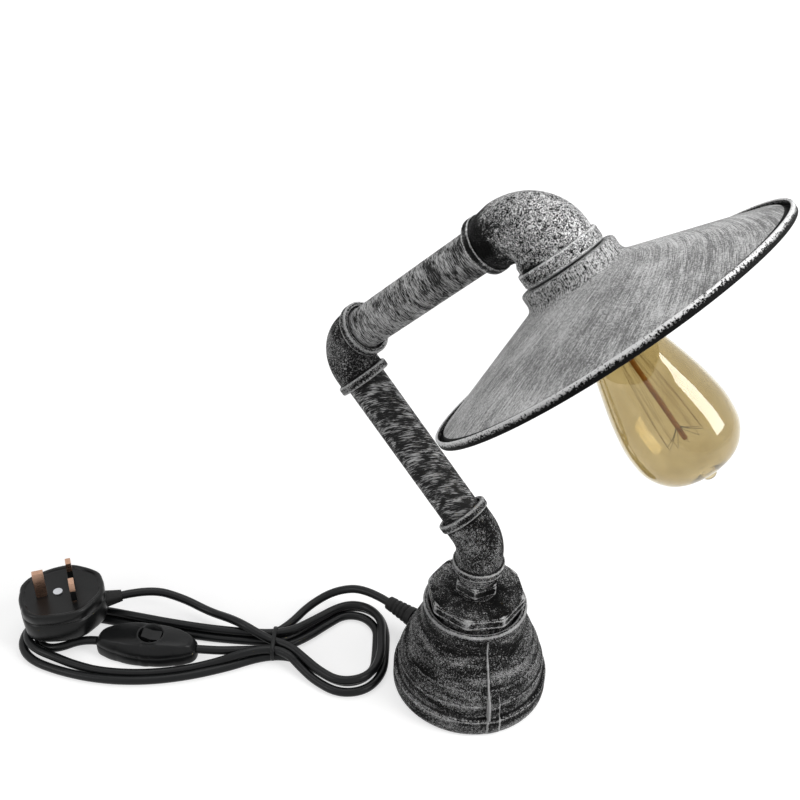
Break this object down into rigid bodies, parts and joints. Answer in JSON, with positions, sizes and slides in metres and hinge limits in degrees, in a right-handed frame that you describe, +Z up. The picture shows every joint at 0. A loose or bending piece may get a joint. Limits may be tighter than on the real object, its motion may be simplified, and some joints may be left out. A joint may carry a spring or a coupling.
{
  "type": "pipe table lamp",
  "caption": "Table lamp of threaded iron pipe and cast elbows on a bell reducer, with a conical metal shade, bare filament bulb, and a flex with in-line rocker switch and plug.",
  "frame": {"origin": "on the table under the middle of the round base", "axes": "+Z up; the pipe arm stands in the XZ plane: the lower pipe leans to -X, and the shade hangs over and opens towards +X"},
  "size_m": [0.4599, 0.2832, 0.403],
  "materials": {
    "cast_iron_silvered": "black casting brushed with worn silver on its high spots",
    "steel_pipe_silvered": "black pipe wiped with silver in streaks round it",
    "sheet_steel_silvered": "silver brushed over black in arcs",
    "rubber_pad": "matt black",
    "black_ring": "satin black",
    "black_rubber": "satin black",
    "black_flex": "satin black",
    "black_tie": "satin black",
    "black_plastic": "semi-gloss black",
    "black_holder": "satin black",
    "zinc_steel": "zinc plated",
    "brass": "plain",
    "copper_brass": "coppery, lightly tarnished",
    "bulb_cap_brass": "rolled thread, bright",
    "ceramic_fuse": "glazed ceramic",
    "ceramic_core": "glazed ceramic",
    "black_insulator": "glossy black glass",
    "solder": "dull solder",
    "amber_glass": "clear amber tint",
    "clear_stem": "clear",
    "filament_wire": "fine coiled wire",
    "support_wire": "fine drawn wire"
  },
  "bodies": {
    "base": {"base_pad": "rubber_pad", "base_bell": "cast_iron_silvered", "base_bushing": "cast_iron_silvered", "hex_nipple": "cast_iron_silvered", "cord_boot": "black_rubber", "earth_screw": "zinc_steel", "earth_lug": "brass", "earth_washer": "zinc_steel", "flex_in_base": "black_flex", "cord_from_lamp": "black_flex", "cord_hank": "black_flex", "cord_tie": "black_tie", "cord_to_switch": "black_flex", "cord_from_switch": "black_flex", "cord_to_plug": "black_flex", "switch_base": "black_plastic", "switch_cover": "black_plastic", "switch_screws": "zinc_steel", "switch_contacts": "brass", "plug_base": "black_plastic", "plug_cover": "black_plastic", "plug_screw": "zinc_steel", "earth_pin": "copper_brass", "line_pin": "copper_brass", "neutral_pin": "copper_brass", "pin_sleeves": "black_plastic", "fuse": "ceramic_fuse", "fuse_clips": "brass", "plug_grip": "black_rubber"},
    "lower_arm": {"elbow_45": "cast_iron_silvered", "lower_pipe": "steel_pipe_silvered", "flex_in_lower_arm": "black_flex"},
    "upper_arm": {"elbow_90": "cast_iron_silvered", "upper_pipe": "steel_pipe_silvered", "flex_in_upper_arm": "black_flex"},
    "head": {"head_elbow": "cast_iron_silvered", "holder_disc": "zinc_steel", "holder_locknut": "zinc_steel", "holder_entry_nipple": "zinc_steel", "holder_cap": "black_holder", "holder_skirt": "black_holder", "holder_core": "ceramic_core", "holder_shell": "brass", "holder_contact": "brass", "holder_terminals": "brass", "shade_ring": "black_ring", "shade": "sheet_steel_silvered", "flex_in_head": "black_flex"},
    "bulb": {"bulb_cap": "bulb_cap_brass", "bulb_insulator": "black_insulator", "bulb_contact": "solder", "bulb_glass": "amber_glass", "bulb_stem": "clear_stem", "filament": "filament_wire", "filament_supports": "support_wire"},
    "rocker": {"switch_rocker": "black_plastic"}
  },
  "joints": [
    {"name": "base_swivel", "type": "hinge", "parent": "base", "child": "lower_arm", "pos_m": [0, 0, 0.1332], "axis": [0, 0, 1], "range_deg": [-90, 90]},
    {"name": "arm_swivel", "type": "hinge", "parent": "lower_arm", "child": "upper_arm", "pos_m": [-0.11384, 0, 0.24704], "axis": [-0.7071, 0, 0.7071], "range_deg": [-60, 60]},
    {"name": "head_swivel", "type": "hinge", "parent": "upper_arm", "child": "head", "pos_m": [0.01202, 0, 0.37291], "axis": [0.7071, 0, 0.7071], "range_deg": [-90, 90]},
    {"name": "switch_rocker", "type": "hinge", "parent": "base", "child": "rocker", "pos_m": [-0.20802, -0.112, 0.017], "axis": [0.4524, -0.8918, 0], "range_deg": [0, 22]},
    {"name": "bulb_out", "type": "slide", "parent": "head", "child": "bulb", "axis": [0.7071, 0, -0.7071], "range_m": [0, 0.03]}
  ]
}
